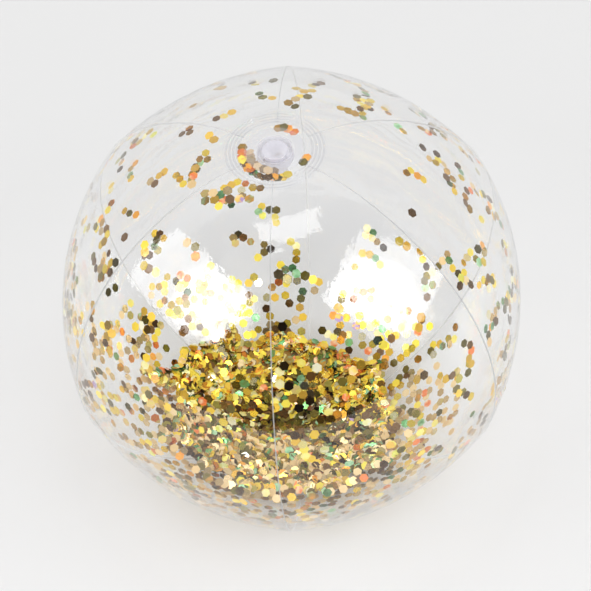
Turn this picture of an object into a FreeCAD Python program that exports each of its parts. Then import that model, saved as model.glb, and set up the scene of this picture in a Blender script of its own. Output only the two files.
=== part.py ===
"""Inflatable beach ball of clear vinyl film with hexagonal confetti inside.

Six lune-shaped gores are welded along inward fins into a ball. A round patch closes each pole.
The valve patch at the top carries a push-in inflation valve: flange, folding membrane, stem,
plug, tether and check flap. Loose confetti lies in a heap at the bottom, and single flakes cling
to the film.

Millimetres. The origin is the centre of the flat area that the ball rests on, and +Z runs up the
polar axis through the valve.
"""

import FreeCAD, Part
import math
import os
import random

from FreeCAD import Vector

# Ball
GORES = 6
FIRST_SEAM = -90.0  # azimuth of the first seam, in degrees
SEAM_RADIUS = 132.0  # from the polar axis to a seam at the equator
MID_RADIUS = 128.2  # from the polar axis to the middle of a gore at the equator
FULL_HEIGHT = 128.0  # from the centre to the poles of the ellipse that the film follows
POLE_SINK = 3.3  # how far the film's poles lie inside that ellipse
SINK_REACH = 24.0  # degrees from a pole at which the sink ends
FILM = 0.3
FIN_DEPTH = 1.2  # how far a weld fin stands in from the film
ROUND_BELOW = 13.5  # degrees from a pole within which the ball is round
SIX_SIDED_FROM = 42.0  # degrees from a pole beyond which it is fully six-sided
WELD_GAP = 0.05  # between two pieces that are welded face to face
SLOPE_STEP = 0.01  # degrees over which the film's slope is taken
ROWS, COLUMNS = 37, 11  # points that a gore's surface goes through, along and across

# Polar patches
PATCH_RADIUS = 27.3
PATCH_FILM = 0.4
PATCH_FLAT = 16.5  # radius of the flat middle, on which the ball rests
VALVE_HOLE = 19.4  # radius of the hole that the gore tips leave under the valve patch
BASE_HOLE = 17.0  # the same under the base patch
WELD_RINGS = (19.8, 21.8, 23.8, 25.8)  # radii of the rings pressed into a patch
RING_HALF_WIDTH = 0.5
RING_HEIGHT = 0.3

# Valve, radii about the polar axis and heights from the patch's flat top
PATCH_BORE = 10.9
FLANGE_RADIUS = 16.0
FLANGE_BORE = 10.0
FLANGE_THICK = 0.9
MEMBRANE = 0.6
MEMBRANE_OUTER = 9.95
MEMBRANE_INNER = 6.0
MEMBRANE_DEPTH = 7.5
RIM_RADIUS = 7.2
RIM_TOP = -1.6
RIM_THICK = 1.4
STEM_RADIUS = 5.6
STEM_BORE = 3.6
STEM_FOOT = -17.0
PLUG_RADIUS = 6.9
PLUG_HEAD = 1.3
PLUG_DOME = 0.45
SHANK_LENGTH = 7.0
FIT = 0.05  # running clearance
TETHER_WIDTH = 2.6
TETHER_THICK = 0.7
TETHER_BEND = 0.7  # radius of the middle of the fold
TETHER_REACH = 8.0  # from the polar axis to the fold's centre
TETHER_AZIMUTH = -25.0
FLAP_RADIUS = 5.2
FLAP_THICK = 0.4
FLAP_AXIS = 4.6  # from the polar axis to the hinge axis
BARREL_RADIUS = 0.4
BARREL_LENGTH = 4.4

# Confetti
FLAKE_FLATS = 4.8
FLAKE_THICK = 0.1
FLAKE_CLEAR = 0.1  # from the film's inside to a flake
FLAKES_PER_GORE = 30
FLAKE_SPACING = 7.0
WALL_FROM, WALL_TO = 16.0, 140.0  # degrees from the top pole where flakes cling
SEAM_MARGIN = 5.0  # from a seam to the middle of the nearest flake
VALVE_FLAKES = 17
VALVE_FLAKE_RING = 16.3
VALVE_FLAKE_DROP = 0.15  # below the flange
HEAP_RADIUS = 123.6  # from the ball's centre to the heap's underside, clear of the fins at the base
HEAP_SPREAD = 33.0  # degrees from straight down to the heap's edge
HEAP_HEIGHT = 5.0
HEAP_EDGE = 0.8

# Worked out from the above
GORE_ANGLE = 360.0 / GORES
CHORD = math.cos(math.radians(GORE_ANGLE / 2))
SIX_SIDED = (1 - MID_RADIUS / SEAM_RADIUS) / (1 - CHORD)
POLAR_AXIS = Vector(0, 0, 1)


def film_rise(reach):
    """Height of the film above the centre at an angle from a pole, in degrees."""
    fade = max(0.0, 1 - (reach / SINK_REACH) ** 2)
    return FULL_HEIGHT * math.cos(math.radians(reach)) - POLE_SINK * fade**3


def reach_at(radius):
    """Angle from a pole at a distance from the polar axis, near the pole."""
    return math.degrees(math.asin(radius / SEAM_RADIUS))


# Heights that follow from the film's curve
CENTRE = film_rise(reach_at(PATCH_FLAT)) + WELD_GAP + PATCH_FILM
TOP = 2 * CENTRE
FLANGE_TOP = TOP - PATCH_FILM - WELD_GAP
MIDDLE = Vector(0, 0, CENTRE)


def save(name, shape):
    """Writes one node."""
    bad = sum(1 for solid in shape.Solids if not solid.isValid() or solid.Volume <= 0)
    print(f"{name}: {len(shape.Solids)} solids, {shape.Volume:.1f} mm3, {bad} bad")
    shape.exportStep(f"parts/{name}.step")


def at(radius, height):
    """Point of a half section through the polar axis."""
    return Vector(radius, 0, height)


def outline(start, *steps):
    """Closed wire in a half section. A step is a point, or a (middle, end) pair for an arc."""
    edges, last = [], start
    for step in steps + (start,):
        if isinstance(step, tuple):
            edges.append(Part.Arc(last, *step).toShape())
            last = step[1]
        elif last.distanceToPoint(step) > 0:
            edges.append(Part.makeLine(last, step))
            last = step
    return Part.Wire(edges)


def cap_arc(edge, height):
    """Arc step from edge to the polar axis at height, about a centre on that axis."""
    rise = height - edge.z
    radius = (edge.x**2 + rise**2) / (2 * rise)
    half = math.asin(edge.x / abs(radius)) / 2
    middle = at(abs(radius) * math.sin(half), height - radius + radius * math.cos(half))
    return middle, at(0, height)


def turned(wire):
    """Solid of revolution about the polar axis."""
    return Part.Face(wire).revolve(Vector(0, 0, 0), POLAR_AXIS, 360)


# Film


def radius_at(azimuth, polar):
    """Equatorial radius of the ellipse that the film follows. Degrees, polar from a pole."""
    reach = min(polar, 180.0 - polar)
    ramp = (reach - ROUND_BELOW) / (SIX_SIDED_FROM - ROUND_BELOW)
    ramp = max(0.0, min(1.0, ramp))
    share = SIX_SIDED * ramp * ramp * (3 - 2 * ramp)
    from_middle = azimuth % GORE_ANGLE - GORE_ANGLE / 2
    chord = CHORD / math.cos(math.radians(from_middle))
    return SEAM_RADIUS * (1 - share + share * chord)


def film_point(azimuth, polar, depth=0.0):
    """Point below the film's outside, with depth measured square to the meridian."""
    wide = radius_at(azimuth, polar)
    reach = min(polar, 180.0 - polar)
    up, beyond = film_rise(reach), film_rise(reach + SLOPE_STEP)
    out = wide * math.sin(math.radians(reach))
    run = wide * math.sin(math.radians(reach + SLOPE_STEP)) - out
    length = math.hypot(run, beyond - up)
    out += depth * (beyond - up) / length
    up -= depth * run / length
    turn = math.radians(azimuth)
    side = 1 if polar <= 90.0 else -1
    return Vector(out * math.cos(turn), out * math.sin(turn), CENTRE + side * up)


def off_seam(polar, inset):
    """Angle about the polar axis that takes a point sideways from a seam by inset."""
    return math.degrees(inset / (SEAM_RADIUS * math.sin(math.radians(polar))))


def gore_rows():
    """Angles from the top pole at which a gore's surfaces are set out."""
    first, last = reach_at(VALVE_HOLE), 180.0 - reach_at(BASE_HOLE)
    return [first + (last - first) * row / (ROWS - 1) for row in range(ROWS)]


def film_surface(depth, inset):
    """Surface between a gore's two sides at a depth, starting inset from the seams."""
    grid = []
    for polar in gore_rows():
        start = off_seam(polar, inset)
        step = (GORE_ANGLE - 2 * start) / (COLUMNS - 1)
        grid.append([film_point(start + step * c, polar, depth) for c in range(COLUMNS)])
    surface = Part.BSplineSurface()
    surface.interpolate(grid)
    return surface


def fin_edge(side, depth, inset):
    """Long edge of a fin. Side 0 is the seam at azimuth 0, and side 1 the one after it."""
    points = []
    for polar in gore_rows():
        azimuth = off_seam(polar, inset)
        points.append(film_point(GORE_ANGLE - azimuth if side else azimuth, polar, depth))
    curve = Part.BSplineCurve()
    curve.interpolate(points)
    return curve.toShape()


def ends(edge):
    """The two ends of an edge, the one nearer the top pole first."""
    points = [vertex.Point for vertex in edge.Vertexes]
    return sorted(points, key=lambda point: -point.z)


def gore():
    """One gore from azimuth 0, a curved film with an inward fin along each side."""
    outer = film_surface(0.0, WELD_GAP / 2)
    inner = film_surface(FILM, WELD_GAP / 2 + FILM)
    u0, u1, v0, v1 = outer.bounds()
    s0, s1, t0, t1 = inner.bounds()
    faces = [outer.toShape(), inner.toShape()]
    faces.append(Part.makeRuledSurface(outer.uIso(u0).toShape(), inner.uIso(s0).toShape()))
    faces.append(Part.makeRuledSurface(outer.uIso(u1).toShape(), inner.uIso(s1).toShape()))
    sides = ((outer.vIso(v0), inner.vIso(t0)), (outer.vIso(v1), inner.vIso(t1)))
    for side, (film_out, film_in) in enumerate(sides):
        tip = FILM + FIN_DEPTH
        loop = [
            film_out.toShape(),
            fin_edge(side, tip, WELD_GAP / 2),
            fin_edge(side, tip, WELD_GAP / 2 + FILM),
            film_in.toShape(),
        ]
        faces += [Part.makeRuledSurface(a, b) for a, b in zip(loop, loop[1:])]
        for end in (0, 1):
            a, b, c, d = (ends(edge)[end] for edge in loop)
            faces.append(Part.makeRuledSurface(Part.makeLine(a, d), Part.makeLine(b, c)))
    shell = Part.makeShell(faces)
    shell.sewShape()
    solid = Part.makeSolid(shell)
    if solid.Volume < 0:
        solid.reverse()
    return solid


def in_gore(shape, number):
    """The shape turned from the gore at azimuth 0 to the gore of that number."""
    return shape.rotated(Vector(0, 0, 0), POLAR_AXIS, FIRST_SEAM + GORE_ANGLE * number)


def make_gores():
    first = gore()
    for number in range(GORES):
        save(f"gore_{number + 1}", in_gore(first, number))


# Polar patches


def patch_height(radius):
    """Height of the base patch's outside."""
    if radius <= PATCH_FLAT:
        return 0.0
    return CENTRE - film_rise(reach_at(radius)) - WELD_GAP - PATCH_FILM


def patch(bore):
    """Base patch with weld rings, and a hole in the middle if bore is over 0."""
    steps = [at(PATCH_FLAT, 0.0)]
    for ring in WELD_RINGS:
        low, high = ring - RING_HALF_WIDTH, ring + RING_HALF_WIDTH
        steps.append(at(low, patch_height(low)))
        crest = at(ring, patch_height(ring) - RING_HEIGHT)
        steps.append((crest, at(high, patch_height(high))))
    steps.append(at(PATCH_RADIUS, patch_height(PATCH_RADIUS)))
    steps.append(at(PATCH_RADIUS, patch_height(PATCH_RADIUS) + PATCH_FILM))
    middle = (PATCH_FLAT + PATCH_RADIUS) / 2
    bend = at(middle, patch_height(middle) + PATCH_FILM)
    steps.append((bend, at(PATCH_FLAT, PATCH_FILM)))
    steps.append(at(bore, PATCH_FILM))
    return turned(outline(at(bore, 0.0), *steps))


def make_patches():
    save("base_patch", patch(0.0))
    valve_patch = patch(PATCH_BORE).rotated(MIDDLE, Vector(1, 0, 0), 180)
    save("valve_patch", valve_patch)


# Valve


def flange():
    """Stiff ring under the valve patch, with a rounded outer edge."""
    foot = FLANGE_TOP - FLANGE_THICK
    half = FLANGE_THICK / 2
    return turned(outline(
        at(FLANGE_BORE, foot),
        at(FLANGE_RADIUS - half, foot),
        (at(FLANGE_RADIUS, foot + half), at(FLANGE_RADIUS - half, FLANGE_TOP)),
        at(FLANGE_BORE, FLANGE_TOP),
    ))


def membrane():
    """Soft trough that folds down from the flange and back up to the stem."""
    outer, inner = MEMBRANE_OUTER, MEMBRANE_INNER
    across = (outer - inner) / 2
    middle, low = inner + across, TOP - MEMBRANE_DEPTH + across
    root = RIM_TOP + TOP - RIM_THICK - 2 * MEMBRANE
    return turned(outline(
        at(outer, FLANGE_TOP),
        at(outer, low),
        (at(middle, low - across), at(inner, low)),
        at(inner, root),
        at(STEM_RADIUS + FIT, root),
        at(STEM_RADIUS + FIT, root + MEMBRANE),
        at(inner + MEMBRANE, root + MEMBRANE),
        at(inner + MEMBRANE, low),
        (at(middle, low - across + MEMBRANE), at(outer - MEMBRANE, low)),
        at(outer - MEMBRANE, FLANGE_TOP),
    ))


def hinge_bar(radius, length):
    """Bar along the flap's hinge axis at the stem's foot."""
    start = Vector(-length / 2, FLAP_AXIS, TOP + STEM_FOOT)
    return Part.makeCylinder(radius, length, start, Vector(1, 0, 0))


def stem():
    """Tube with a rim at the top and a groove for the flap's hinge across its foot."""
    rim_top, foot = TOP + RIM_TOP, TOP + STEM_FOOT
    rim_foot = rim_top - RIM_THICK
    lead = MEMBRANE / 2
    tube = turned(outline(
        at(STEM_BORE, foot),
        at(STEM_RADIUS - lead, foot),
        at(STEM_RADIUS, foot + lead),
        at(STEM_RADIUS, rim_foot),
        at(RIM_RADIUS - lead, rim_foot),
        at(RIM_RADIUS, rim_foot + lead),
        at(RIM_RADIUS, rim_top),
        at(STEM_BORE, rim_top),
    ))
    return tube.cut(hinge_bar(BARREL_RADIUS + FIT, 2 * STEM_RADIUS))


def plug():
    """Domed head on a shank with a snap bead, which closes the stem's bore."""
    seat = TOP + RIM_TOP + FIT
    shank = STEM_BORE - FIT
    neck = shank - MEMBRANE / 2
    crown = seat + PLUG_HEAD
    brow = at(PLUG_RADIUS - MEMBRANE / 2, crown)
    bead = seat - SHANK_LENGTH
    return turned(outline(
        at(0, bead),
        at(neck - MEMBRANE, bead),
        (at(shank, bead + MEMBRANE), at(neck, bead + 2 * MEMBRANE)),
        at(neck, seat - MEMBRANE),
        at(shank, seat - MEMBRANE / 2),
        at(shank, seat),
        at(PLUG_RADIUS, seat),
        at(PLUG_RADIUS, crown - MEMBRANE / 2),
        brow,
        cap_arc(brow, crown + PLUG_DOME),
    ))


def tether():
    """Strap folded between the plug's head and the stem's rim."""
    half = TETHER_THICK / 2
    fold = TOP + RIM_TOP
    high, low = fold + TETHER_BEND, fold - TETHER_BEND
    head, rim = PLUG_RADIUS + FIT, RIM_RADIUS + FIT
    wire = outline(
        at(head, high - half),
        at(TETHER_REACH, high - half),
        (at(TETHER_REACH + TETHER_BEND - half, fold), at(TETHER_REACH, low + half)),
        at(rim, low + half),
        at(rim, low - half),
        at(TETHER_REACH, low - half),
        (at(TETHER_REACH + TETHER_BEND + half, fold), at(TETHER_REACH, high + half)),
        at(head, high + half),
    )
    strap = Part.Face(wire).extrude(Vector(0, TETHER_WIDTH, 0))
    strap.translate(Vector(0, -TETHER_WIDTH / 2, 0))
    return strap.rotated(Vector(0, 0, 0), POLAR_AXIS, TETHER_AZIMUTH)


def flap():
    """Disc that closes the stem's foot from inside the ball, with a hinge bar along one edge."""
    foot = TOP + STEM_FOOT
    disc = Part.makeCylinder(FLAP_RADIUS, FLAP_THICK, Vector(0, 0, foot - FIT - FLAP_THICK))
    size = 2 * FLAP_RADIUS
    beyond = Part.makeBox(size, size, size, Vector(-FLAP_RADIUS, FLAP_AXIS, foot - size / 2))
    return disc.cut(beyond).fuse(hinge_bar(BARREL_RADIUS, BARREL_LENGTH)).removeSplitter()


def make_valve():
    save("valve_flange", flange())
    save("valve_membrane", membrane())
    save("valve_stem", stem())
    save("valve_plug", plug())
    save("plug_tether", tether())
    save("check_flap", flap())


# Confetti


def flake(middle, normal, spin):
    """Hexagonal flake whose near face is centred on middle and faces along normal."""
    corner = FLAKE_FLATS / 2 / math.cos(math.pi / 6)
    steps = [math.radians(spin + 60 * k) for k in range(7)]
    points = [Vector(corner * math.cos(a), corner * math.sin(a), 0) for a in steps]
    points[-1] = points[0]
    prism = Part.Face(Part.makePolygon(points)).extrude(Vector(0, 0, -FLAKE_THICK))
    turn = FreeCAD.Rotation(Vector(0, 0, 1), normal)
    prism.Placement = FreeCAD.Placement(middle, turn)
    return prism


def film_normal(azimuth, polar):
    """Outward direction square to the film."""
    step = 0.1
    along = film_point(azimuth, polar + step) - film_point(azimuth, polar - step)
    across = film_point(azimuth + step, polar) - film_point(azimuth - step, polar)
    return along.cross(across).normalize()


def wall_flakes(seed):
    """Scattered flakes that cling to the inside of the gore from azimuth 0."""
    draw = random.Random(seed)
    places, flakes = [], []
    high, low = (math.cos(math.radians(angle)) for angle in (WALL_FROM, WALL_TO))
    while len(flakes) < FLAKES_PER_GORE:
        polar = math.degrees(math.acos(draw.uniform(low, high)))
        margin = off_seam(polar, SEAM_MARGIN)
        azimuth = draw.uniform(margin, GORE_ANGLE - margin)
        place = film_point(azimuth, polar)
        if any(place.distanceToPoint(other) < FLAKE_SPACING for other in places):
            continue
        places.append(place)
        normal = film_normal(azimuth, polar)
        flakes.append(flake(place - normal * (FILM + FLAKE_CLEAR), normal, draw.uniform(0, 60)))
    return Part.makeCompound(flakes)


def valve_flakes():
    """Ring of flakes caught under the valve's flange."""
    height = FLANGE_TOP - FLANGE_THICK - VALVE_FLAKE_DROP
    draw = random.Random(GORES)
    flakes = []
    for number in range(VALVE_FLAKES):
        turn = 2 * math.pi * number / VALVE_FLAKES
        place = Vector(VALVE_FLAKE_RING * math.cos(turn), VALVE_FLAKE_RING * math.sin(turn), height)
        flakes.append(flake(place, POLAR_AXIS, draw.uniform(0, 60)))
    return Part.makeCompound(flakes)


def heap():
    """Bowl-shaped layer of loose flakes, thick in the middle."""
    spread = math.radians(HEAP_SPREAD)
    foot = CENTRE - HEAP_RADIUS
    rim = at(HEAP_RADIUS * math.sin(spread), CENTRE - HEAP_RADIUS * math.cos(spread))
    edge = rim + Vector(0, 0, HEAP_EDGE)
    return turned(outline(
        rim,
        edge,
        cap_arc(edge, foot + HEAP_HEIGHT),
        at(0, foot),
        (cap_arc(rim, foot)[0], rim),
    ))


def make_confetti():
    for number in range(GORES):
        save(f"confetti_wall_{number + 1}", in_gore(wall_flakes(number), number))
    save("confetti_valve", valve_flakes())
    save("confetti_heap", heap())


os.makedirs("parts", exist_ok=True)
make_gores()
make_patches()
make_valve()
make_confetti()
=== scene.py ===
"""Clear inflatable beach ball with gold confetti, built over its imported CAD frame.

Metres, in the frame of the CAD model: +Z runs up the polar axis through the valve, the ball rests
at z = 0, and one seam faces -Y.
"""
import math
import random

import bpy
from mathutils import Matrix, Quaternion, Vector, noise


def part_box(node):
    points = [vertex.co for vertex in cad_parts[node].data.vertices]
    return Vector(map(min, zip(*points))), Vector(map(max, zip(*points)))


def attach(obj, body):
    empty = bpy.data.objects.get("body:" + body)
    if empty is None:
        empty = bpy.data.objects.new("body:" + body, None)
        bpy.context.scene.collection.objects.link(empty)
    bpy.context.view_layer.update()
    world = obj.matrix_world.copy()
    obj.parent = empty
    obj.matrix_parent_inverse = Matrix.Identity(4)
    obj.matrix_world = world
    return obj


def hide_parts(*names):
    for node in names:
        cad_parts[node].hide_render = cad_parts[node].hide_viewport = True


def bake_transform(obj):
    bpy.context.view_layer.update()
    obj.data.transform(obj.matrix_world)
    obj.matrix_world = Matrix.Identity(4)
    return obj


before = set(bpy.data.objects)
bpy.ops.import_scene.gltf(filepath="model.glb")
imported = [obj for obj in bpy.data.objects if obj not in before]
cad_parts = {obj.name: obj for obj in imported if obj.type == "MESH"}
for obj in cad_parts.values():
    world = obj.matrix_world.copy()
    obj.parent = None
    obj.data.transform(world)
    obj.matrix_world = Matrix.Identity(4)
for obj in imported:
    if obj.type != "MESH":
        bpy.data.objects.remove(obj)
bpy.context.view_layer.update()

MM = 0.001

# Ball, read from the frame
GORES = 6
GORE_ANGLE = 360.0 / GORES
FIRST_SEAM = -90.0  # azimuth of the first seam, in degrees
SEAM_RADIUS = -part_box("gore_1")[0][1]
MID_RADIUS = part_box("gore_2")[1][0]
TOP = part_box("valve_patch")[1][2]
CENTRE = Vector((0, 0, TOP / 2))
PATCH_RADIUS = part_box("valve_patch")[1][0]
FLANGE_FOOT, FLANGE_TOP = (corner[2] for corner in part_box("valve_flange"))
STEM_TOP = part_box("valve_stem")[1][2]

# Film
FULL_HEIGHT = 128.0 * MM  # from the centre to the poles of the ellipse that the film follows
POLE_SINK = 3.3 * MM
SINK_REACH = 24.0  # degrees from a pole at which the sink ends
ROUND_BELOW, SIX_SIDED_FROM = 13.5, 42.0  # degrees from a pole
FILM = 0.3 * MM
FIN_DEPTH = 0.45 * MM  # the clear part of each fin is left off
WELD_GAP = 0.05 * MM
VALVE_HOLE = 19.4 * MM
BASE_HOLE = 17.0 * MM
ROWS, COLUMNS = 150, 44

# Weld rings of the patches: radii, and the painted shade along the ring slopes, as a tint against
# the distance from a ring in millimetres
WELD_RINGS = (19.8 * MM, 21.8 * MM)
RING_PAINTED_SHADE = (
    (0.15, (0.97, 0.97, 0.98)), (0.42, (0.91, 0.91, 0.92)), (0.6, (0.99, 0.992, 0.995)),
)

# Camera, aimed at the ball's centre
VIEW_AZIMUTH, VIEW_ELEVATION, VIEW_ROLL = 7.8, 51.4, -6.5
VIEW_DISTANCE = 1.339
VIEW_LENS = 145.3
VIEW_SHIFT = (0.0065, 0.0042)

# Confetti
FLAKE_FLATS = 4.8 * MM
FLAKE_THICK = 0.08 * MM
WALL_FLAKES = 1180
BED_FLAKES = 660
HEAP_FLAKES = 4000
FLAKE_FACES = 8


def direction(azimuth, elevation):
    """Unit vector from the ball's centre. Azimuth 0 is -Y and 90 is +X."""
    turn, rise = math.radians(azimuth), math.radians(elevation)
    flat = math.cos(rise)
    return Vector((math.sin(turn) * flat, -math.cos(turn) * flat, math.sin(rise)))


def link(obj):
    bpy.context.scene.collection.objects.link(obj)
    return obj


def make_camera():
    camera = link(bpy.data.objects.new("camera", bpy.data.cameras.new("camera")))
    toward = direction(VIEW_AZIMUTH, VIEW_ELEVATION)
    camera.location = CENTRE + toward * VIEW_DISTANCE
    camera.rotation_mode = "QUATERNION"
    roll = Quaternion((0, 0, 1), math.radians(VIEW_ROLL))
    camera.rotation_quaternion = (-toward).to_track_quat("-Z", "Y") @ roll
    camera.data.lens = VIEW_LENS
    camera.data.sensor_width = 36.0
    camera.data.shift_x, camera.data.shift_y = VIEW_SHIFT
    bpy.context.scene.camera = camera


# Materials


class Nodes:
    """The node tree of a new material, or of the world, with short calls to fill it."""

    def __init__(self, name, world=False):
        self.owner = (bpy.data.worlds if world else bpy.data.materials).new(name)
        self.owner.use_nodes = True
        self.tree = self.owner.node_tree
        self.tree.nodes.clear()
        self.output = self.add("OutputWorld" if world else "OutputMaterial")

    def add(self, kind, settings=None, **sockets):
        """Adds a node. Settings are its properties. A socket is given a value or an output."""
        node = self.tree.nodes.new("ShaderNode" + kind)
        for key, value in (settings or {}).items():
            setattr(node, key, value)
        for key, value in sockets.items():
            self.feed(node, key.replace("_", " "), value)
        return node

    def feed(self, node, key, value):
        socket = node.inputs[int(key)] if key.isdigit() else node.inputs[key]
        if isinstance(value, bpy.types.NodeSocket):
            self.tree.links.new(value, socket)
        else:
            socket.default_value = value

    def math(self, operation, a, b=0.0):
        node = self.add("Math", {"operation": operation})
        self.feed(node, "0", a)
        self.feed(node, "1", b)
        return node.outputs[0]

    def ramp(self, factor, stops, interpolation="LINEAR"):
        node = self.add("ValToRGB", Fac=factor)
        node.color_ramp.interpolation = interpolation
        elements = node.color_ramp.elements
        while len(elements) < len(stops):
            elements.new(1.0)
        for element, (place, colour) in zip(elements, stops):
            element.position = place
            element.color = (*colour, 1.0)
        return node.outputs["Color"]

    def mix(self, factor, a, b):
        node = self.add("MixShader")
        self.feed(node, "0", factor)
        self.feed(node, "1", a)
        self.feed(node, "2", b)
        return node.outputs[0]

    def skin(self, normal, tint):
        """Thin clear plastic: mirrors a little face on and a lot at a glancing angle."""
        facing = self.add("LayerWeight", Blend=0.5).outputs["Facing"]
        grazing = self.math("POWER", facing, 4.6)
        mirror = self.math("ADD", self.math("MULTIPLY", grazing, 0.85), 0.04)
        clear = self.add("BsdfTransparent", Color=tint)
        gloss = self.add("BsdfGlossy", Color=(1.0, 1.0, 1.0, 1.0), Roughness=0.02)
        self.feed(gloss, "Normal", normal)
        return self.mix(mirror, clear.outputs[0], gloss.outputs[0])

    def done(self, surface):
        self.tree.links.new(surface, self.output.inputs["Surface"])
        return self.owner


def film_material():
    """Clear vinyl film. Each face reflects as a smooth dielectric does and lets the rest through."""
    nodes = Nodes("clear_film")
    place = nodes.add("TexCoord").outputs["Object"]
    drawn = nodes.add("Mapping", Vector=place, Scale=(1.0, 1.0, 0.12)).outputs[0]
    streak = nodes.add("TexNoise", Vector=drawn, Scale=420.0, Detail=2.0)
    bump = nodes.add("Bump", Height=streak.outputs["Fac"], Strength=0.13, Distance=0.0006)
    surface = nodes.skin(bump.outputs["Normal"], (0.990, 0.991, 0.992, 1.0))
    return nodes.done(surface)


def patch_material():
    """Clear film with four pressed weld rings, along which painted shade dims what is seen through.
    """
    nodes = Nodes("patch_film")
    place = nodes.add("TexCoord").outputs["Object"]
    flat = nodes.add("VectorMath", {"operation": "MULTIPLY"})
    nodes.feed(flat, "0", place)
    nodes.feed(flat, "1", (1.0, 1.0, 0.0))
    radius = nodes.add("VectorMath", {"operation": "LENGTH"})
    nodes.feed(radius, "0", flat.outputs["Vector"])
    off_first = nodes.math("SUBTRACT", radius.outputs["Value"], WELD_RINGS[0])
    off_ring = nodes.math("PINGPONG", off_first, (WELD_RINGS[1] - WELD_RINGS[0]) / 2)
    # painted shade: a grey line along the slopes of each weld ring
    line = nodes.ramp(nodes.math("MULTIPLY", off_ring, 1 / (1.0 * MM)), RING_PAINTED_SHADE)
    inside = nodes.math("LESS_THAN", radius.outputs["Value"], WELD_RINGS[0] - 0.7 * MM)
    tint = nodes.add("MixRGB", Fac=inside, Color1=line, Color2=(0.99, 0.992, 0.995, 1.0))
    grain = nodes.add("TexNoise", Vector=place, Scale=260.0, Detail=2.0)
    bump = nodes.add("Bump", Height=grain.outputs["Fac"], Strength=0.06, Distance=0.0006)
    return nodes.done(nodes.skin(bump.outputs["Normal"], tint.outputs[0]))


def weld_material():
    """Pressed film along a seam, a little milky, with the fine ribs of the welding bar."""
    nodes = Nodes("weld")
    place = nodes.add("TexCoord").outputs["Object"]
    grain = nodes.add("TexNoise", Vector=place, Scale=900.0, Detail=2.0)
    bump = nodes.add("Bump", Height=grain.outputs["Fac"], Strength=0.2, Distance=0.0004)
    body = nodes.add("BsdfPrincipled", Base_Color=(0.90, 0.90, 0.91, 1.0), Roughness=0.3)
    nodes.feed(body, "Normal", bump.outputs["Normal"])
    clear = nodes.add("BsdfTransparent", Color=(0.92, 0.92, 0.92, 1.0))
    return nodes.done(nodes.mix(0.62, clear.outputs[0], body.outputs[0]))


def vinyl_material(name, colour, cover):
    """Soft moulded vinyl, milky and see-through. Cover is how much of it stops light."""
    nodes = Nodes(name)
    place = nodes.add("TexCoord").outputs["Object"]
    cloud = nodes.add("TexNoise", Vector=place, Scale=420.0, Detail=3.0, Roughness=0.55)
    shade = tuple(0.93 * part for part in colour)
    paint = nodes.ramp(cloud.outputs["Fac"], ((0.3, shade), (0.7, colour)))
    bump = nodes.add("Bump", Height=cloud.outputs["Fac"], Strength=0.4, Distance=0.0006)
    body = nodes.add("BsdfPrincipled", Base_Color=paint, Roughness=0.1)
    body.inputs["Specular IOR Level"].default_value = 0.7
    nodes.feed(body, "Normal", bump.outputs["Normal"])
    clear = nodes.add("BsdfTransparent", Color=(0.98, 0.98, 0.99, 1.0))
    return nodes.done(nodes.mix(cover, clear.outputs[0], body.outputs[0]))


FOIL = (
    # painted shade: the dark brown stops stand in for dark reflections and shadow
    (0.00, (0.12, 0.052, 0.007)),
    (0.10, (0.17, 0.08, 0.01)),
    (0.15, (0.38, 0.20, 0.02)),
    (0.23, (0.68, 0.42, 0.04)),
    (0.31, (0.90, 0.56, 0.05)),
    (0.40, (0.98, 0.70, 0.06)),
    (0.47, (1.00, 0.79, 0.10)),
    # painted highlights: cream and white glints at the top of the bright stretch
    (0.50, (1.00, 0.87, 0.34)),
    (0.53, (1.00, 0.94, 0.70)),
    (0.56, (0.70, 0.70, 0.08)),
    # painted reflection of the pale floor: the tan stops
    (0.60, (0.72, 0.50, 0.22)),
    (0.70, (0.84, 0.64, 0.35)),
    (0.73, (0.36, 0.30, 0.02)),
    # painted shade: the dark olive stops stand in for dark reflections and shadow
    (0.77, (0.13, 0.097, 0.008)),
    (0.84, (0.18, 0.135, 0.012)),
    (0.87, (0.12, 0.38, 0.12)),
    (0.89, (0.42, 0.70, 0.42)),
    (0.91, (0.40, 0.23, 0.03)),
    (0.94, (0.95, 0.40, 0.03)),
    (0.965, (0.82, 0.18, 0.04)),
    (0.98, (0.95, 0.66, 0.38)),
    (0.995, (0.88, 0.58, 0.06)),
    (1.00, (0.45, 0.30, 0.55)),
)
# Stretches of FOIL: the dark brown and dark olive ones are painted shade, and the tan one is a
# painted reflection of the pale floor
DARK_BROWN, BRIGHT, TAN, DARK_OLIVE = (0.0, 0.12), (0.30, 0.53), (0.59, 0.70), (0.76, 0.85)
VIVID = (0.86, 0.99)
# Extra shares of dark flakes (painted shade), bright, tan (painted reflection of the pale floor) and
# vivid flakes
# painted reflection of the pale floor: the tan share of flakes low down at the front
LOW_MIX = (0.0, 0.08, 0.66, 0.08)
BEHIND_MIX = (0.0, 0.40, 0.0, 0.12)
WALL_MIX = (0.12, 0.10, 0.0, 0.0)
HEAP_BACK_MIX = (0.04, 0.48, 0.0, 0.16)
# painted reflection of the floor: the tan share of flakes in front of the trough
HEAP_FRONT_MIX = (0.08, 0.03, 0.36, 0.12)


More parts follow.
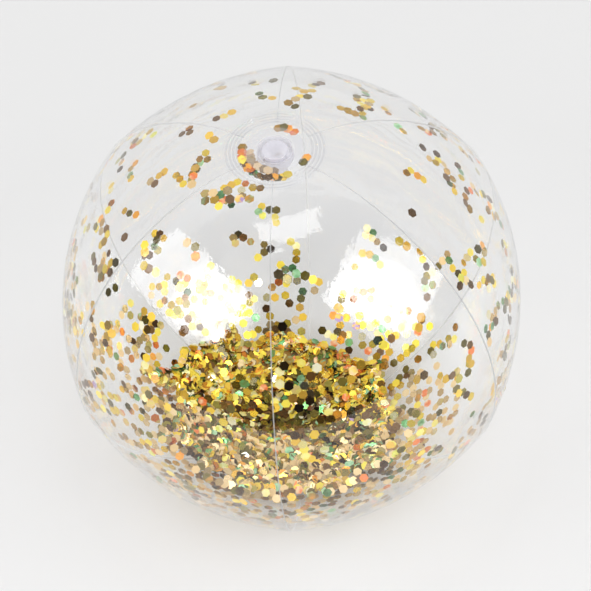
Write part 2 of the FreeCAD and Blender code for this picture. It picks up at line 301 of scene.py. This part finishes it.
def foil_material():
    """Holographic gold foil. Each flake has its own tint, some are satin, and bands cross it. Some
    tints are painted shade, highlights or floor reflection, and satin flakes get a painted glow.
    """
    nodes = Nodes("gold_foil")
    draw = nodes.add("Attribute", {"attribute_name": "draw"}).outputs["Fac"]
    place = nodes.add("TexCoord").outputs["Object"]
    band = nodes.add("TexNoise", Vector=place, Scale=330.0, Detail=1.0)
    shift = nodes.math("MULTIPLY", nodes.math("SUBTRACT", band.outputs["Fac"], 0.5), 0.05)
    tint = nodes.ramp(nodes.math("ADD", draw, shift), FOIL)
    satin = nodes.math("FRACT", nodes.math("MULTIPLY", draw, 37.0))
    metal = nodes.ramp(satin, ((0.50, (1.0, 1.0, 1.0)), (0.54, (0.35, 0.35, 0.35))))
    # painted light: satin flakes are made 1.3 times brighter than their tint, metal ones a little
    # darker
    painted_glow = nodes.ramp(satin, ((0.50, (0.95, 0.95, 0.95)), (0.54, (1.3, 1.3, 1.3))))
    paint = nodes.add("MixRGB", {"blend_type": "MULTIPLY"}, Fac=1.0, Color1=tint, Color2=painted_glow)
    rough = nodes.math("ADD", nodes.math("MULTIPLY", satin, 0.3), 0.1)
    body = nodes.add("BsdfPrincipled", Base_Color=paint.outputs[0], Metallic=metal, Roughness=rough)
    body.inputs["Coat Weight"].default_value = 0.3
    body.inputs["Coat Roughness"].default_value = 0.06
    return nodes.done(body.outputs[0])


# Film geometry

CHORD = math.cos(math.radians(GORE_ANGLE / 2))
SIX_SIDED = (1 - MID_RADIUS / SEAM_RADIUS) / (1 - CHORD)
SLOPE_STEP = 0.01


def film_rise(reach):
    """Height of the film above the centre at an angle from a pole, in degrees."""
    fade = max(0.0, 1 - (reach / SINK_REACH) ** 2)
    return FULL_HEIGHT * math.cos(math.radians(reach)) - POLE_SINK * fade**3


def reach_at(radius):
    """Angle from a pole at a distance from the polar axis, near the pole."""
    return math.degrees(math.asin(radius / SEAM_RADIUS))


def film_radius(azimuth, reach):
    """Equatorial radius of the ellipse that the film follows."""
    ramp = max(0.0, min(1.0, (reach - ROUND_BELOW) / (SIX_SIDED_FROM - ROUND_BELOW)))
    share = SIX_SIDED * ramp * ramp * (3 - 2 * ramp)
    from_middle = (azimuth - FIRST_SEAM) % GORE_ANGLE - GORE_ANGLE / 2
    return SEAM_RADIUS * (1 - share + share * CHORD / math.cos(math.radians(from_middle)))


def pucker(point, azimuth, reach):
    """How far the slack of the film draws it in at a place, from small folds and soft waves."""
    unit = (point - CENTRE).normalized()
    soft = noise.noise(unit * 4.5) * 0.35 * MM
    off_seam = math.radians(seam_turn(azimuth)) * math.hypot(point.x, point.y)
    near_seam = math.exp(-off_seam / (7.0 * MM))
    along = noise.noise(Vector((reach * 0.55, math.floor(azimuth / GORE_ANGLE + 0.5) * 3.1, 0)))
    past_patch = max(0.0, math.hypot(point.x, point.y) - PATCH_RADIUS)
    near_pole = math.exp(-past_patch / (16.0 * MM)) if reach < 60 else 0.0
    ring = Vector((math.cos(math.radians(azimuth)), math.sin(math.radians(azimuth)), 0)) * 7.0
    fold = noise.noise(ring + Vector((0, 0, reach * 0.03)))
    return abs(soft) + near_seam * (0.5 + along) * 0.42 * MM + near_pole * abs(fold) * 0.6 * MM


def film_point(azimuth, polar, depth=0.0):
    """Point below the film's outside, with depth measured square to the meridian."""
    reach = min(polar, 180.0 - polar)
    wide = film_radius(azimuth, reach)
    out, up = wide * math.sin(math.radians(reach)), film_rise(reach)
    run = wide * math.sin(math.radians(reach + SLOPE_STEP)) - out
    fall = film_rise(reach + SLOPE_STEP) - up
    turn = math.radians(azimuth)
    side = 1 if polar <= 90.0 else -1
    across = Vector((math.cos(turn), math.sin(turn), 0))
    bare = CENTRE + across * out + Vector((0, 0, side * up))
    depth += pucker(bare, azimuth, reach)
    length = math.hypot(run, fall)
    return bare + across * (depth * fall / length) - Vector((0, 0, side * depth * run / length))


def mesh_object(name, points, faces, materials, smooth=True):
    mesh = bpy.data.meshes.new(name)
    mesh.from_pydata(points, [], faces)
    mesh.validate()
    for material in materials:
        mesh.materials.append(material)
    mesh.polygons.foreach_set("use_smooth", [smooth] * len(mesh.polygons))
    return link(bpy.data.objects.new(name, mesh))


def fin_share(reach):
    """Depth of a fin as a share of its full depth: it fades out towards the patches."""
    return max(0.25, min(1.0, (reach - 9.0) / 18.0))


def gore_object(number, film, weld):
    """One gore with its two inward fins, as one closed skin."""
    seam = FIRST_SEAM + GORE_ANGLE * number
    first, last = reach_at(VALVE_HOLE), 180.0 - reach_at(BASE_HOLE)
    points, faces, in_fin = [], [], []

    def place(side, inset, polar, depth):
        turn = math.degrees(inset / (SEAM_RADIUS * math.sin(math.radians(polar))))
        azimuth = seam + GORE_ANGLE - turn if side else seam + turn
        points.append(film_point(azimuth, polar, depth))

    thin = WELD_GAP / 2
    thick = thin + FILM
    for row in range(ROWS + 1):
        polar = first + (last - first) * row / ROWS
        sine = SEAM_RADIUS * math.sin(math.radians(polar))
        tip = FILM + FIN_DEPTH * fin_share(min(polar, 180.0 - polar))
        for inset, depth, way in ((thin, 0.0, 1), (thick, FILM, -1)):
            start = math.degrees(inset / sine)
            step = (GORE_ANGLE - 2 * start) / COLUMNS
            turns = range(COLUMNS + 1) if way > 0 else range(COLUMNS, -1, -1)
            for column in turns:
                points.append(film_point(seam + start + step * column, polar, depth))
            if way > 0:
                place(1, thin, polar, tip)
                place(1, thick, polar, tip)
        place(0, thick, polar, tip)
        place(0, thin, polar, tip)
    loop = 2 * (COLUMNS + 1) + 4
    fins = {COLUMNS, COLUMNS + 1, COLUMNS + 2, loop - 3, loop - 2, loop - 1}
    for row in range(ROWS):
        for k in range(loop):
            after = (k + 1) % loop
            a, b = row * loop + k, row * loop + after
            faces.append((a, b, b + loop, a + loop))
            in_fin.append(k in fins)
    for row, order in ((0, 1), (ROWS, -1)):
        base = row * loop
        for k in range(COLUMNS):
            far = 2 * COLUMNS + 3 - k
            faces.append((base + k, base + far, base + far - 1, base + k + 1)[::order])
            in_fin.append(False)
        right = (base + COLUMNS, base + COLUMNS + 3, base + COLUMNS + 2, base + COLUMNS + 1)
        left = (base, base + loop - 1, base + loop - 2, base + loop - 3)
        for face in (right, left):
            faces.append(face[::order])
            in_fin.append(True)
    obj = mesh_object(f"film_gore_{number + 1}", points, faces, (film, weld))
    mesh = obj.data
    mesh.polygons.foreach_set("material_index", [int(flag) for flag in in_fin])
    mark_creases(mesh, math.radians(35))
    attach(obj, "shell")
    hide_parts(f"gore_{number + 1}")


def mark_creases(mesh, limit):
    """Makes edges sharper than limit show as hard edges."""
    normals = [polygon.normal.copy() for polygon in mesh.polygons]
    meeting = {}
    for polygon in mesh.polygons:
        for key in polygon.edge_keys:
            meeting.setdefault(key, []).append(polygon.index)
    for edge in mesh.edges:
        pair = meeting.get(tuple(sorted(edge.vertices)), ())
        if len(pair) == 2 and normals[pair[0]].angle(normals[pair[1]], 0.0) > limit:
            edge.use_edge_sharp = True


# Confetti geometry


class Flakes:
    """Collects hexagonal flakes into one mesh."""

    def __init__(self):
        self.points, self.faces, self.draws = [], [], []

    def add(self, centre, normal, spin, draw, size=FLAKE_FLATS):
        turn = Vector((0, 0, 1)).rotation_difference(normal).to_matrix()
        first = len(self.points)
        corner = size / 2 / math.cos(math.pi / 6)
        for height in (FLAKE_THICK / 2, -FLAKE_THICK / 2):
            for k in range(6):
                angle = spin + math.pi * k / 3
                local = Vector((corner * math.cos(angle), corner * math.sin(angle), height))
                self.points.append(centre + turn @ local)
        self.faces.append(tuple(first + k for k in range(6)))
        self.faces.append(tuple(first + 11 - k for k in range(6)))
        for k in range(6):
            after = (k + 1) % 6
            self.faces.append((first + k, first + 6 + k, first + 6 + after, first + after))
        self.draws += [draw] * FLAKE_FACES

    def object(self, name, body, foil, *nodes):
        obj = mesh_object(name, self.points, self.faces, (foil,), smooth=False)
        tint = obj.data.attributes.new("draw", "FLOAT", "FACE")
        tint.data.foreach_set("value", self.draws)
        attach(obj, body)
        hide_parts(*nodes)
        return obj


def tilted(normal, spread, draw):
    """A direction near normal. Spread is the usual angle between them, in radians."""
    side = normal.orthogonal().normalized()
    side.rotate(Quaternion(normal, draw.uniform(0, 2 * math.pi)))
    return (normal + side * math.tan(min(1.3, abs(draw.gauss(0, spread))))).normalized()


def film_normal(azimuth, polar):
    step = 0.4
    along = film_point(azimuth, polar + step) - film_point(azimuth, polar - step)
    across = film_point(azimuth + step, polar) - film_point(azimuth - step, polar)
    return along.cross(across).normalized()


def seam_turn(azimuth):
    """Degrees of azimuth to the nearest seam."""
    return abs((azimuth - FIRST_SEAM + GORE_ANGLE / 2) % GORE_ANGLE - GORE_ANGLE / 2)


def seam_distance(azimuth, polar):
    """Distance to the nearest seam along the film."""
    return math.radians(seam_turn(azimuth)) * SEAM_RADIUS * math.sin(math.radians(polar))


def foil_draw(draw, dark, bright, tan, vivid):
    """A flake's place along the foil's colours, with extra shares of four kinds of flake."""
    chance = draw.random()
    if chance < dark:
        return draw.uniform(*draw.choice((DARK_BROWN, DARK_OLIVE)))
    if chance < dark + bright:
        return draw.uniform(*BRIGHT)
    if chance < dark + bright + tan:
        return draw.uniform(*TAN)
    if chance < dark + bright + tan + vivid:
        return draw.uniform(*VIVID)
    return draw.random()


LOW_FROM, LOW_WIDTH = 105.0, 45.0  # polar angles, in degrees
BEHIND_FROM = 75.0
DENSITY, LEAST_DENSITY = 0.4, 0.06
MORE_LOW, LESS_BACK, MORE_FRONT, MORE_SIDE = 1.3, 0.68, 0.6, 0.6
CLEAR_OF_SEAM = 3.2 * MM
START_COSINES = (math.cos(math.radians(156)), 0.972)  # of polar angles where chains start
FIRST_POLAR, LAST_POLAR = 13.5, 160.0
WALL_ROOM, BED_ROOM = 3.4 * MM, 3.3 * MM
BED_SPREAD = 1.6  # times the heap's reach
BED_FULL = 0.85  # share of the heap's reach up to which no flake is left out
FEWER_BEHIND = 0.72
CHAINS = (1, 1, 1, 2, 2, 3, 3, 4, 5, 7, 9)
SIZES = (1.0, 1.0, 1.0, 0.97, 0.9)


def wall_density(azimuth, polar):
    """Chance from 0 to 1 that flakes cling at a place: few at the back, many low down."""
    unit = direction(azimuth + 90.0, 90.0 - polar)
    patchy = 0.66 + 0.7 * noise.noise(unit * 5.0 + Vector((4.0, 1.0, 2.0)))
    low = 1.0 + MORE_LOW * max(0.0, (polar - LOW_FROM) / LOW_WIDTH)
    back = 1.0 - LESS_BACK * max(0.0, unit.y)
    front = 1.0 + MORE_FRONT * max(0.0, -unit.y) * (polar < 85)
    side = 1.0 + MORE_SIDE * abs(unit.x) * (polar < LOW_FROM)
    return max(LEAST_DENSITY, patchy) * low * back * front * side * DENSITY


def wall_draw(draw, azimuth, polar):
    """Flakes low down at the front and sides are tan, a painted reflection of the pale floor, and
    those behind the heap are brighter.
    """
    depth = math.sin(math.radians(azimuth))
    if polar > LOW_FROM and depth < 0.35:
        return foil_draw(draw, *LOW_MIX)
    if polar > BEHIND_FROM and depth > 0.5:
        return foil_draw(draw, *BEHIND_MIX)
    return foil_draw(draw, *WALL_MIX)


def make_wall_flakes(foil):
    """Flakes that cling to the film, alone, in pairs and in short chains."""
    draw = random.Random(7)
    groups = [Flakes() for _ in range(GORES)]
    taken = {}
    placed = 0
    while placed < WALL_FLAKES:
        polar = math.degrees(math.acos(draw.uniform(*START_COSINES)))
        azimuth = draw.uniform(0, 360)
        if draw.random() > wall_density(azimuth, polar):
            continue
        heading = draw.uniform(0, 2 * math.pi)
        for _ in range(draw.choice(CHAINS)):
            if (seam_distance(azimuth, polar) > CLEAR_OF_SEAM
                    and FIRST_POLAR < polar < LAST_POLAR
                    and has_room(taken, film_point(azimuth, polar), WALL_ROOM)):
                number = int(((azimuth - FIRST_SEAM) % 360) // GORE_ANGLE)
                depth = FILM + draw.uniform(0.15, 0.75) * MM
                groups[number].add(
                    film_point(azimuth, polar, depth),
                    tilted(film_normal(azimuth, polar), 0.11, draw),
                    draw.uniform(0, math.pi), wall_draw(draw, azimuth, polar),
                    FLAKE_FLATS * draw.choice(SIZES))
                placed += 1
            heading += draw.gauss(0, 1.3)
            step = math.degrees(draw.uniform(0.75, 1.2) * FLAKE_FLATS / SEAM_RADIUS)
            polar += step * math.cos(heading)
            azimuth += step * math.sin(heading) / max(0.2, math.sin(math.radians(polar)))
    placed = 0
    while placed < BED_FLAKES:
        turn, off = draw.uniform(0, 2 * math.pi), BED_SPREAD * math.sqrt(draw.random())
        x = HEAP_MIDDLE[0] + HEAP_REACH[0] * off * math.cos(turn)
        y = HEAP_MIDDLE[1] + HEAP_REACH[1] * off * math.sin(turn)
        base, inward = floor_of_ball(x, y)
        behind = FEWER_BEHIND if y > HEAP_MIDDLE[1] + 0.5 * HEAP_REACH[1] else 0.0
        if draw.random() < max(off - BED_FULL, behind) or not has_room(taken, base, BED_ROOM):
            continue
        azimuth = math.degrees(math.atan2(y, x))
        if math.radians(seam_turn(azimuth)) * math.hypot(x, y) < CLEAR_OF_SEAM:
            continue
        number = int(((azimuth - FIRST_SEAM) % 360) // GORE_ANGLE)
        groups[number].add(
            base + inward * draw.uniform(0.35, 0.9) * MM, tilted(inward, 0.08, draw),
            draw.uniform(0, math.pi), wall_draw(draw, azimuth, 180.0))
        placed += 1
    for number, group in enumerate(groups):
        group.object(f"wall_flakes_{number + 1}", "shell", foil, f"confetti_wall_{number + 1}")


def has_room(taken, point, apart):
    """Whether no point kept so far is nearer than apart. Keeps the point if so."""
    cell = tuple(math.floor(part / apart) for part in point)
    for dx in (-1, 0, 1):
        for dy in (-1, 0, 1):
            for dz in (-1, 0, 1):
                for other in taken.get((cell[0] + dx, cell[1] + dy, cell[2] + dz), ()):
                    if (other - point).length < apart:
                        return False
    taken.setdefault(cell, []).append(point)
    return True


HEAP_MIDDLE = (-13.0 * MM, -1.0 * MM)  # a little to the left of the pole
HEAP_REACH = (68.0 * MM, 58.0 * MM)
HEAP_THICK = 8.8 * MM
HEAP_SPREAD = 1.2  # times its reach
RAGGED, RAGGED_SCALE = 0.60, 22.0 * MM  # unevenness of its edge
LUMPY, LUMP_SCALE = 0.35, 13.0 * MM
HEAP_PROFILE = 0.75  # under 1 for a flat top with steep sides
STRAYS = 0.11  # chance of a flake past the front edge
TROUGH_Y, TROUGH_HALF_WIDTH, TROUGH_HALF_LENGTH = -4.5 * MM, 12.0 * MM, 37.0 * MM
TROUGH_X = HEAP_MIDDLE[0] + 8.0 * MM
TROUGH_DEPTH = 7.6 * MM
TROUGH_FLOOR = 1.4 * MM  # thickness left in the trough
FRONT_LEAN = Vector((0.0, -0.22, 1.0)).normalized()  # flakes in front of the trough
HEAP_SPHERE = 123.6 * MM


def floor_of_ball(x, y):
    """(point, normal into the ball) on the film's inside over a place on the ground."""
    radius = math.hypot(x, y)
    if radius < BASE_HOLE:
        return Vector((x, y, FILM + WELD_GAP)), Vector((0, 0, 1))
    polar = 180.0 - reach_at(min(radius, 0.9 * SEAM_RADIUS))
    azimuth = math.degrees(math.atan2(y, x))
    return film_point(azimuth, polar, FILM), -film_normal(azimuth, polar)


def heap_share(x, y):
    """1 at the middle of the heap, falling to 0 at its uneven edge."""
    across = (x - HEAP_MIDDLE[0]) / HEAP_REACH[0]
    along = (y - HEAP_MIDDLE[1]) / HEAP_REACH[1]
    ragged = 1.0 + RAGGED * noise.noise(Vector((x, y, 0)) / RAGGED_SCALE)
    return max(0.0, 1.0 - math.hypot(across, along) ** 2 * ragged)


def trough_share(x, y):
    """1 along the middle of the heap's trough, falling to 0 around it."""
    across, along = (y - TROUGH_Y) / TROUGH_HALF_WIDTH, (x - TROUGH_X) / TROUGH_HALF_LENGTH
    return math.exp(-(across**2 + along**2))


def heap_height(x, y):
    """Thickness of the heap, with a trough across its middle."""
    lumps = 1.0 + LUMPY * noise.noise(Vector((x, y, 7.0)) / LUMP_SCALE)
    rise = HEAP_THICK * heap_share(x, y) ** HEAP_PROFILE * lumps
    return max(min(rise, TROUGH_FLOOR), rise - TROUGH_DEPTH * trough_share(x, y))


def heap_lean(x, y):
    """Slope of the heap's top as a vector along the ground."""
    step = 1.0 * MM
    return Vector((
        (heap_height(x + step, y) - heap_height(x - step, y)) / (2 * step),
        (heap_height(x, y + step) - heap_height(x, y - step)) / (2 * step), 0))


def heap_draw(draw, x, y):
    """Bright flakes behind the trough, dark ones in it as painted shade, and tan ones in front of it
    as a painted reflection of the floor.
    """
    # painted shade: flakes in the trough are drawn almost only from the dark colours
    dark = 0.03 + 0.97 * trough_share(x, y)
    mix = HEAP_BACK_MIX if y > TROUGH_Y else HEAP_FRONT_MIX
    more_dark, bright, tan, vivid = (share * (1.0 - dark) for share in mix)
    return foil_draw(draw, dark + more_dark, bright, tan, vivid)


def make_heap(foil):
    """Thousands of loose flakes on the sphere that they slide round, clear of film and fins."""
    draw = random.Random(11)
    heap = Flakes()
    while len(heap.draws) < HEAP_FLAKES * FLAKE_FACES:
        turn, off = draw.uniform(0, 2 * math.pi), HEAP_SPREAD * math.sqrt(draw.random())
        x = HEAP_MIDDLE[0] + HEAP_REACH[0] * off * math.cos(turn)
        y = HEAP_MIDDLE[1] + HEAP_REACH[1] * off * math.sin(turn)
        thick = heap_height(x, y)
        stray = y < TROUGH_Y and draw.random() < STRAYS
        if thick < 0.9 * MM * draw.random() and not stray:
            continue
        sunk = thick * 0.8 * draw.random() ** 1.8
        out = Vector((x, y, -math.sqrt(HEAP_SPHERE**2 - x * x - y * y))).normalized()
        lean = (-out - heap_lean(x, y)).normalized() if y > TROUGH_Y else FRONT_LEAN
        normal = tilted(lean, 0.08 + 0.30 * min(1.0, thick / (3 * MM)), draw)
        clear = FLAKE_FLATS * 0.6 * math.sqrt(max(0.0, 1 - normal.dot(out) ** 2))
        radius = HEAP_SPHERE - max(clear, thick - sunk)
        heap.add(CENTRE + out * radius, normal, draw.uniform(0, math.pi), heap_draw(draw, x, y))
    heap.object("heap_flakes", "heap", foil, "confetti_heap")


VALVE_ARCS = (  # from, to, middle radius in millimetres, places along the foil's colours (those in its dark and tan stretches carry its painted shade and painted floor reflection)
    (170.0, 296.0, 17.6, (0.17, 0.96, 0.965, 0.45, 0.02, 0.94, 0.955, 0.87, 0.80, 0.14, 0.03, 0.94,
                          0.79, 0.34, 0.44)),
    (58.0, 88.0, 17.4, (0.96, 0.945, 0.78, 0.15)),
    (-26.0, -14.0, 17.2, (0.76, 0.94)),
    (180.0, 272.0, 13.4, (0.62, 0.66, 0.60, 0.15, 0.64, 0.17, 0.61, 0.14)),
)


def make_valve_flakes(foil):
    """Flakes caught in the pocket under the patch and the flange."""
    draw = random.Random(3)
    ring = Flakes()
    for start, end, middle, tints in VALVE_ARCS:
        for number, tint in enumerate(tints):
            share = number / (len(tints) - 1)
            turn = math.radians(start + (end - start) * share + draw.uniform(-2, 2))
            radius = (middle + draw.uniform(-0.5, 0.3)) * MM
            height = FLANGE_FOOT - (0.25 + 0.9 * draw.random()) * MM
            place = Vector((radius * math.cos(turn), radius * math.sin(turn), height))
            ring.add(place, tilted(Vector((0, 0, 1)), 0.22, draw), draw.uniform(0, math.pi), tint)
    ring.object("valve_flakes", "shell", foil, "confetti_valve")


# Valve

MEMBRANE = 0.6 * MM
MEMBRANE_OUTER, MEMBRANE_INNER = 9.95 * MM, 6.0 * MM
MEMBRANE_LOW = TOP - 7.5 * MM
MEMBRANE_ROOT = TOP - 4.2 * MM
STEM_RADIUS = 5.65 * MM
PLEATS, PLEAT_DEPTH = 9, 0.35 * MM
TETHER_HALF_WIDTH, TETHER_HALF_THICK = 1.3 * MM, 0.35 * MM
TETHER_BEND = 0.7 * MM  # radius of the middle of the fold
TETHER_REACH = 8.0 * MM  # from the polar axis to the fold's centre
TETHER_HEAD, TETHER_RIM = 6.95 * MM, 7.25 * MM  # where its two ends are joined on
TETHER_AZIMUTH = -25.0
TETHER_STEPS, TETHER_SIDES = 24, 16
TETHER_EDGE = 0.18 * MM
TETHER_FOLD = STEM_TOP


def pleated(radius, turn):
    """Radius after shallow pleats that fade out towards the stem."""
    share = (radius - MEMBRANE_INNER) / (MEMBRANE_OUTER - MEMBRANE_INNER)
    return radius - PLEAT_DEPTH * max(0.0, share) * (0.5 - 0.5 * math.cos(PLEATS * turn))


def lathe(name, outline, material, steps=144):
    """Closed ring from an outline of (radius, height) that runs counter-clockwise."""
    points, faces = [], []
    count = len(outline)
    for step in range(steps):
        turn = 2 * math.pi * step / steps
        for radius, height in outline:
            wide = pleated(radius, turn)
            points.append((wide * math.cos(turn), wide * math.sin(turn), height))
        here, there = step * count, (step + 1) % steps * count
        for k in range(count):
            after = (k + 1) % count
            faces.append((here + k, there + k, there + after, here + after))
    ring = mesh_object(name, points, faces, (material,))
    mark_creases(ring.data, math.radians(50))
    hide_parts("valve_membrane")
    return ring


def make_membrane(material):
    """Skirt that follows the flange and the stem, and the fold below it, which rides the stem."""
    across = (MEMBRANE_OUTER - MEMBRANE_INNER) / 2
    middle, low = MEMBRANE_INNER + across, MEMBRANE_LOW + across
    rows = 16
    rise = [low + (FLANGE_TOP - low) * row / rows for row in range(rows + 1)]
    skirt = lathe(
        "membrane_skirt",
        [(MEMBRANE_OUTER, height) for height in rise]
        + [(MEMBRANE_OUTER - MEMBRANE, height) for height in reversed(rise)], material)
    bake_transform(skirt)

    def arc(radius, start, end):
        turns = [math.radians(start + (end - start) * k / 12) for k in range(13)]
        return [(middle + radius * math.cos(a), low + radius * math.sin(a)) for a in turns]

    inside = MEMBRANE_INNER + MEMBRANE
    fold = lathe(
        "membrane_fold",
        arc(across, 180, 360) + arc(across - MEMBRANE, 360, 180)
        + [(inside, MEMBRANE_ROOT + MEMBRANE), (STEM_RADIUS, MEMBRANE_ROOT + MEMBRANE),
           (STEM_RADIUS, MEMBRANE_ROOT), (MEMBRANE_INNER, MEMBRANE_ROOT)], material)
    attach(fold, "stem")


def make_tether(material):
    """Strap folded between the plug's head and the stem's rim, with rounded edges."""
    line = [(TETHER_HEAD, TETHER_BEND, 0.0), (TETHER_REACH, TETHER_BEND, 0.0)]
    for k in range(1, TETHER_STEPS):
        angle = math.pi * k / TETHER_STEPS
        reach = TETHER_REACH + TETHER_BEND * math.sin(angle)
        line.append((reach, TETHER_BEND * math.cos(angle), angle))
    line += [(TETHER_REACH, -TETHER_BEND, math.pi), (TETHER_RIM, -TETHER_BEND, math.pi)]
    section = []
    for k in range(TETHER_SIDES):
        angle = 2 * math.pi * (k + 0.5) / TETHER_SIDES
        side, up = math.cos(angle), math.sin(angle)
        section.append((
            math.copysign(TETHER_HALF_WIDTH - TETHER_EDGE, side) + TETHER_EDGE * side,
            math.copysign(TETHER_HALF_THICK - TETHER_EDGE, up) + TETHER_EDGE * up))
    turn = math.radians(TETHER_AZIMUTH)
    out = Vector((math.cos(turn), math.sin(turn), 0))
    aside = Vector((-math.sin(turn), math.cos(turn), 0))
    points, faces = [], []
    for reach, height, angle in line:
        middle = out * reach + Vector((0, 0, TETHER_FOLD + height))
        normal = out * math.sin(angle) + Vector((0, 0, math.cos(angle)))
        points += [middle + aside * wide + normal * thick for wide, thick in section]
    count = len(section)
    for row in range(len(line) - 1):
        for k in range(count):
            a, b = row * count + k, row * count + (k + 1) % count
            faces.append((a, a + count, b + count, b))
    last = (len(line) - 1) * count
    faces += [tuple(range(count)), tuple(last + k for k in reversed(range(count)))]
    strap = mesh_object("tether_strap", points, faces, (material,))
    mark_creases(strap.data, math.radians(50))
    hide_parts("plug_tether")
    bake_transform(strap)


def paint_node(name, material):
    """Gives a CAD node a new material."""
    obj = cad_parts[name]
    if not obj.material_slots:
        obj.data.materials.append(material)
    for slot in obj.material_slots:
        slot.link = "OBJECT"
        slot.material = material


# Studio


def make_floor():
    """Pale table with painted light under the ball, paler and a touch blue there, which fills in the
    ball's shadow.
    """
    nodes = Nodes("table")
    place = nodes.add("TexCoord").outputs["Object"]
    near = nodes.add("Mapping", Vector=place, Scale=(3.6, 3.6, 3.6))
    glow = nodes.add("TexGradient", {"gradient_type": "SPHERICAL"}, Vector=near.outputs[0])
    # painted light: the pale, slightly blue pool under the ball cancels its shadow
    paint = nodes.ramp(glow.outputs["Fac"], (
        (0.0, (0.80, 0.80, 0.80)), (0.5, (0.85, 0.85, 0.855)), (0.75, (0.96, 0.97, 0.985))))
    body = nodes.add("BsdfPrincipled", Base_Color=paint, Roughness=0.8)
    size, front = 4.0, -0.75
    corners = [(-size, front, 0), (size, front, 0), (size, size, 0), (-size, size, 0)]
    floor = mesh_object("floor", corners, [(0, 1, 2, 3)], (nodes.done(body.outputs[0]),))


# Greys that reflections see, from the front of the room to its back
ROOM = tuple((place, (grey, grey, grey)) for place, grey in (
    (0.0, 0.06), (0.35, 0.15), (0.6, 0.42), (0.92, 0.85)))


def make_world():
    """Pale light from all round. Reflections see a dark room in front and a pale wall behind."""
    nodes = Nodes("studio", world=True)
    backward = nodes.add("VectorMath", {"operation": "DOT_PRODUCT"})
    nodes.feed(backward, "0", nodes.add("TexCoord").outputs["Generated"])
    nodes.feed(backward, "1", (0.0, 0.7, 0.0))
    room = nodes.ramp(nodes.math("ADD", backward.outputs["Value"], 0.5), ROOM)
    dark = nodes.add("Background", Color=room, Strength=1.0)
    pale = nodes.add("Background", Color=(1.0, 1.0, 1.0, 1.0), Strength=0.885)
    glossy = nodes.add("LightPath").outputs["Is Glossy Ray"]
    world = nodes.done(nodes.mix(glossy, pale.outputs[0], dark.outputs[0]))
    world.cycles.sampling_method = "NONE"
    bpy.context.scene.world = world


def make_card(name, toward, distance, size, roll, edge, core=0.0, lamp=(0.0, 0.0)):
    """A softbox that only reflections see. Lamp is the place of its bright core."""
    nodes = Nodes(name)
    place = nodes.add("TexCoord").outputs["Object"]
    centred = nodes.add("Mapping", Vector=place, Location=(-lamp[0], -lamp[1], 0.0))
    spread = nodes.add("Mapping", Vector=centred.outputs[0], Scale=(2.0, 2.0, 2.0))
    glow = nodes.add("TexGradient", {"gradient_type": "SPHERICAL"}, Vector=spread.outputs[0])
    strength = nodes.math("ADD", nodes.math("MULTIPLY", glow.outputs["Fac"], core), edge)
    light = nodes.add("Emission", Color=(1.0, 1.0, 1.0, 1.0), Strength=strength)
    x, y = size[0] / 2, size[1] / 2
    corners = [(-x, -y, 0), (x, -y, 0), (x, y, 0), (-x, y, 0)]
    card = mesh_object(name, corners, [(0, 1, 2, 3)], (nodes.done(light.outputs[0]),))
    toward = Vector(toward).normalized()
    card.matrix_world = (Matrix.Translation(CENTRE + toward * distance)
                         @ toward.to_track_quat("Z", "Y").to_matrix().to_4x4()
                         @ Matrix.Rotation(math.radians(roll), 4, "Z"))
    card.visible_camera = False
    card.visible_diffuse = False
    card.visible_shadow = False


def make_lamp(name, place, size, power):
    """A softbox that lights everything but isn't seen in reflections."""
    lamp = link(bpy.data.objects.new(name, bpy.data.lights.new(name, "AREA")))
    lamp.data.shape = "DISK"
    lamp.data.size = size
    lamp.data.energy = power
    lamp.location = place
    lamp.rotation_mode = "QUATERNION"
    lamp.rotation_quaternion = (CENTRE - Vector(place)).to_track_quat("-Z", "Y")
    lamp.visible_glossy = False


def make_studio():
    make_floor()
    make_world()
    make_card("card_left", (-0.70, -0.37, 0.59), 1.3, (1.08, 0.72), 8.0, 3.0, 7.5, (0.38, 0.10))
    make_card("card_right", (0.75, -0.32, 0.58), 1.3, (0.72, 0.98), 13.0, 3.0, 7.5, (-0.30, 0.05))
    make_card("spill_left", (-0.30, -0.41, 1.02), 1.4, (0.60, 0.62), 30.0, 0.5)
    make_card("spill_right", (0.60, -0.44, 0.66), 1.4, (1.05, 1.15), 13.0, 0.4)
    make_card("card_top", (0.06, -0.03, 0.99), 1.5, (0.70, 0.46), -42.0, 3.0)
    make_lamp("lamp_left", (-1.3, -0.9, 1.5), 1.2, 7.0)
    make_lamp("lamp_right", (1.3, -0.8, 1.4), 1.2, 7.0)


make_camera()
FILM_LOOK, WELD_LOOK, FOIL_LOOK = film_material(), weld_material(), foil_material()
for gore_number in range(GORES):
    gore_object(gore_number, FILM_LOOK, WELD_LOOK)
make_wall_flakes(FOIL_LOOK)
make_heap(FOIL_LOOK)
make_valve_flakes(FOIL_LOOK)
PATCH_LOOK = patch_material()
MILKY = vinyl_material("milky_vinyl", (0.95, 0.94, 0.99), 0.33)
for node in ("valve_patch", "base_patch"):
    paint_node(node, PATCH_LOOK)
paint_node("valve_flange", vinyl_material("flange_vinyl", (0.9, 0.9, 0.93), 0.12))
for node in ("valve_stem", "valve_plug", "check_flap"):
    paint_node(node, MILKY)
make_membrane(MILKY)
make_tether(MILKY)
make_studio()

scene = bpy.context.scene
scene.view_settings.view_transform = "Standard"
scene.cycles.transparent_max_bounces = 48
scene.cycles.max_bounces = 10
